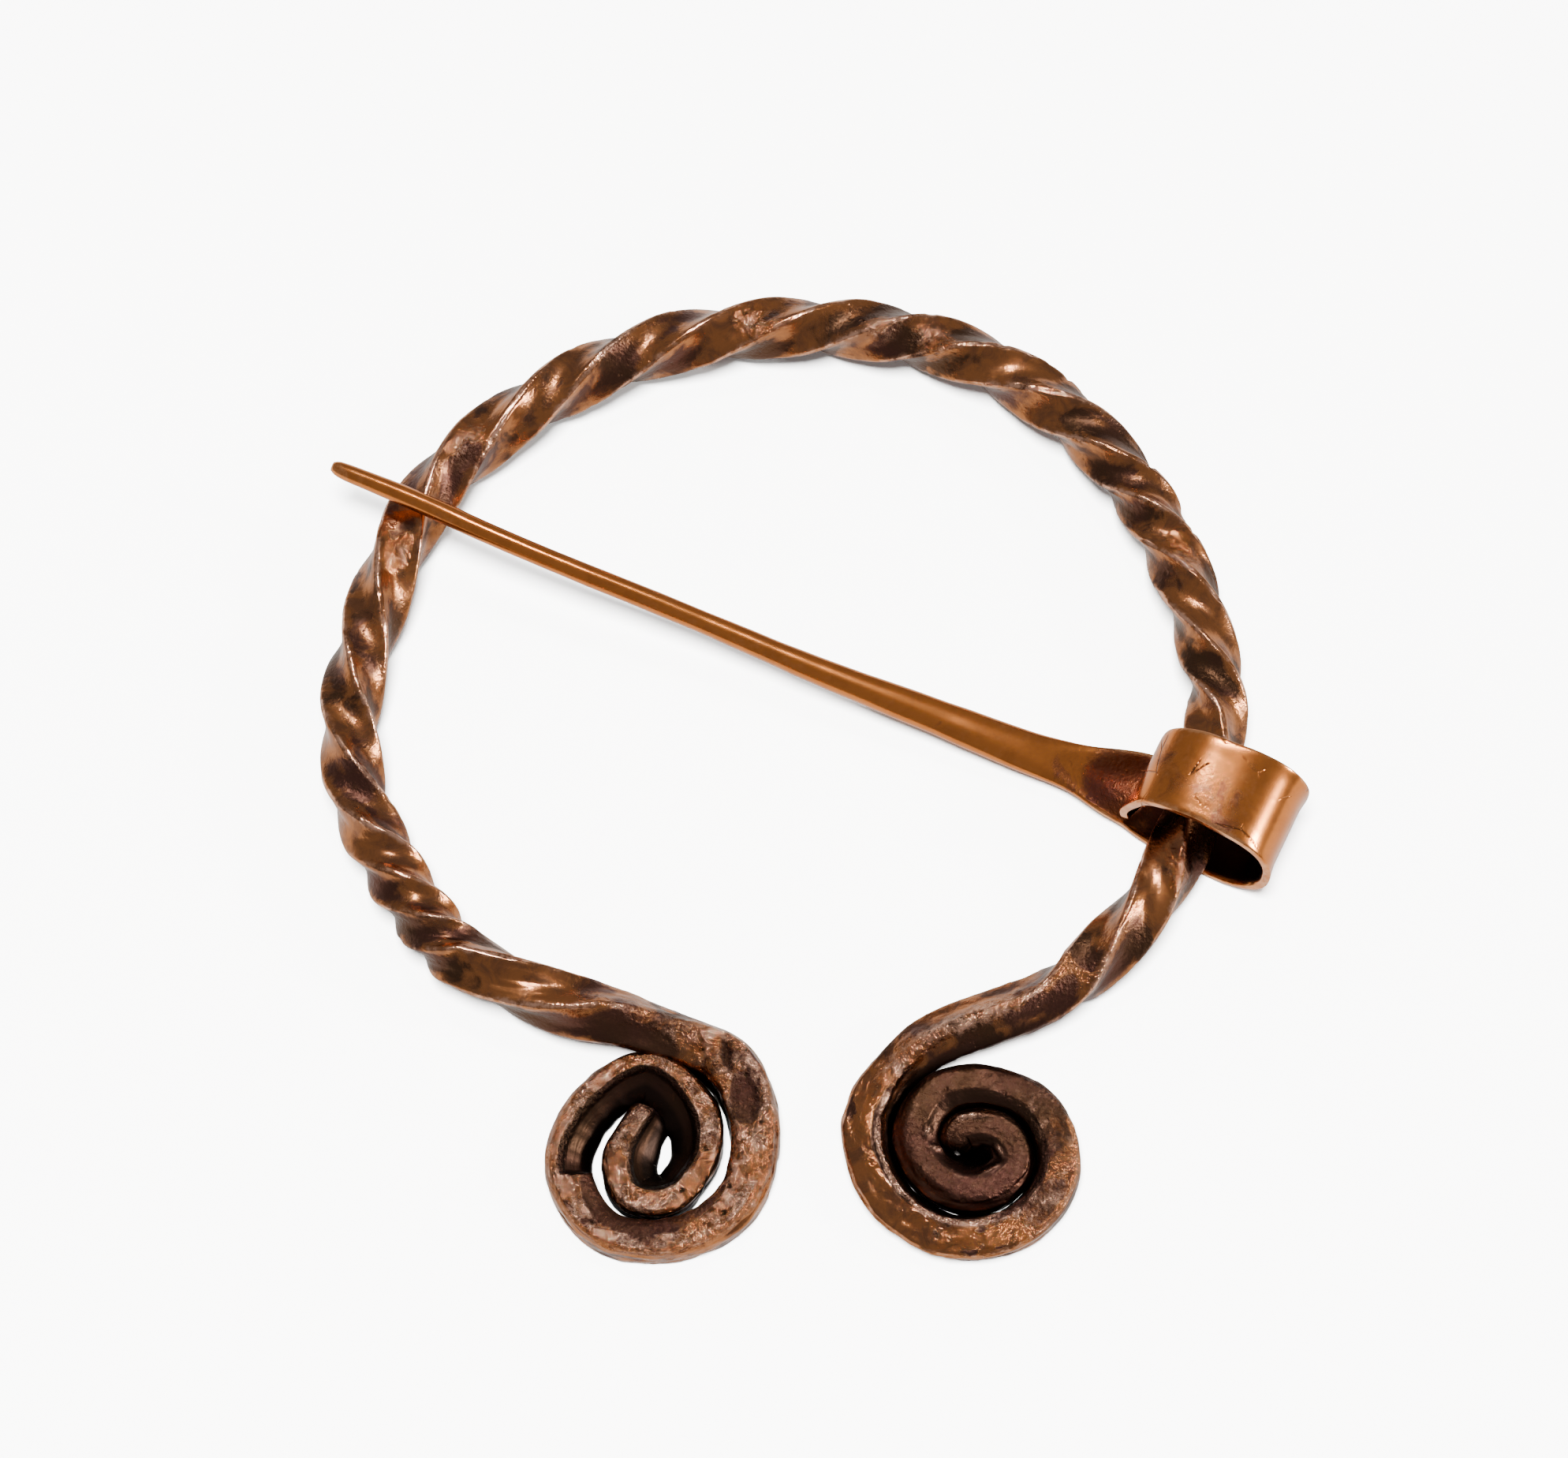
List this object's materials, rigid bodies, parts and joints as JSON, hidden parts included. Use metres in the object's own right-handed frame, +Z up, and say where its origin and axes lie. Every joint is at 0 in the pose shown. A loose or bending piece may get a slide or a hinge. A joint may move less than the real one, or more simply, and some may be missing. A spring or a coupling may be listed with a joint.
{
  "type": "penannular brooch",
  "caption": "Open ring brooch of one twisted square bar with coiled ends, and a pin with a rolled loop that slides round the ring to fasten cloth.",
  "frame": {"origin": "middle of the footprint at the underside that the coiled terminals rest on", "axes": "+Z up out of the plane that the brooch lies in, +Y from the gap between the terminals towards the back of the hoop, +X towards the pin's loop"},
  "size_m": [0.0802, 0.0836, 0.0105],
  "materials": {
    "ring_copper": "hammered copper with dark patina, brighter on the worn arrises",
    "pin_copper": "smooth worn copper"
  },
  "bodies": {
    "ring": {"ring": "ring_copper"},
    "pin": {"pin": "pin_copper"}
  },
  "joints": [
    {"name": "pin_travel", "type": "hinge", "parent": "ring", "child": "pin", "pos_m": [-0.00171, 0.0039, 0], "axis": [0, 0, 1], "range_deg": [-5, 185]}
  ]
}
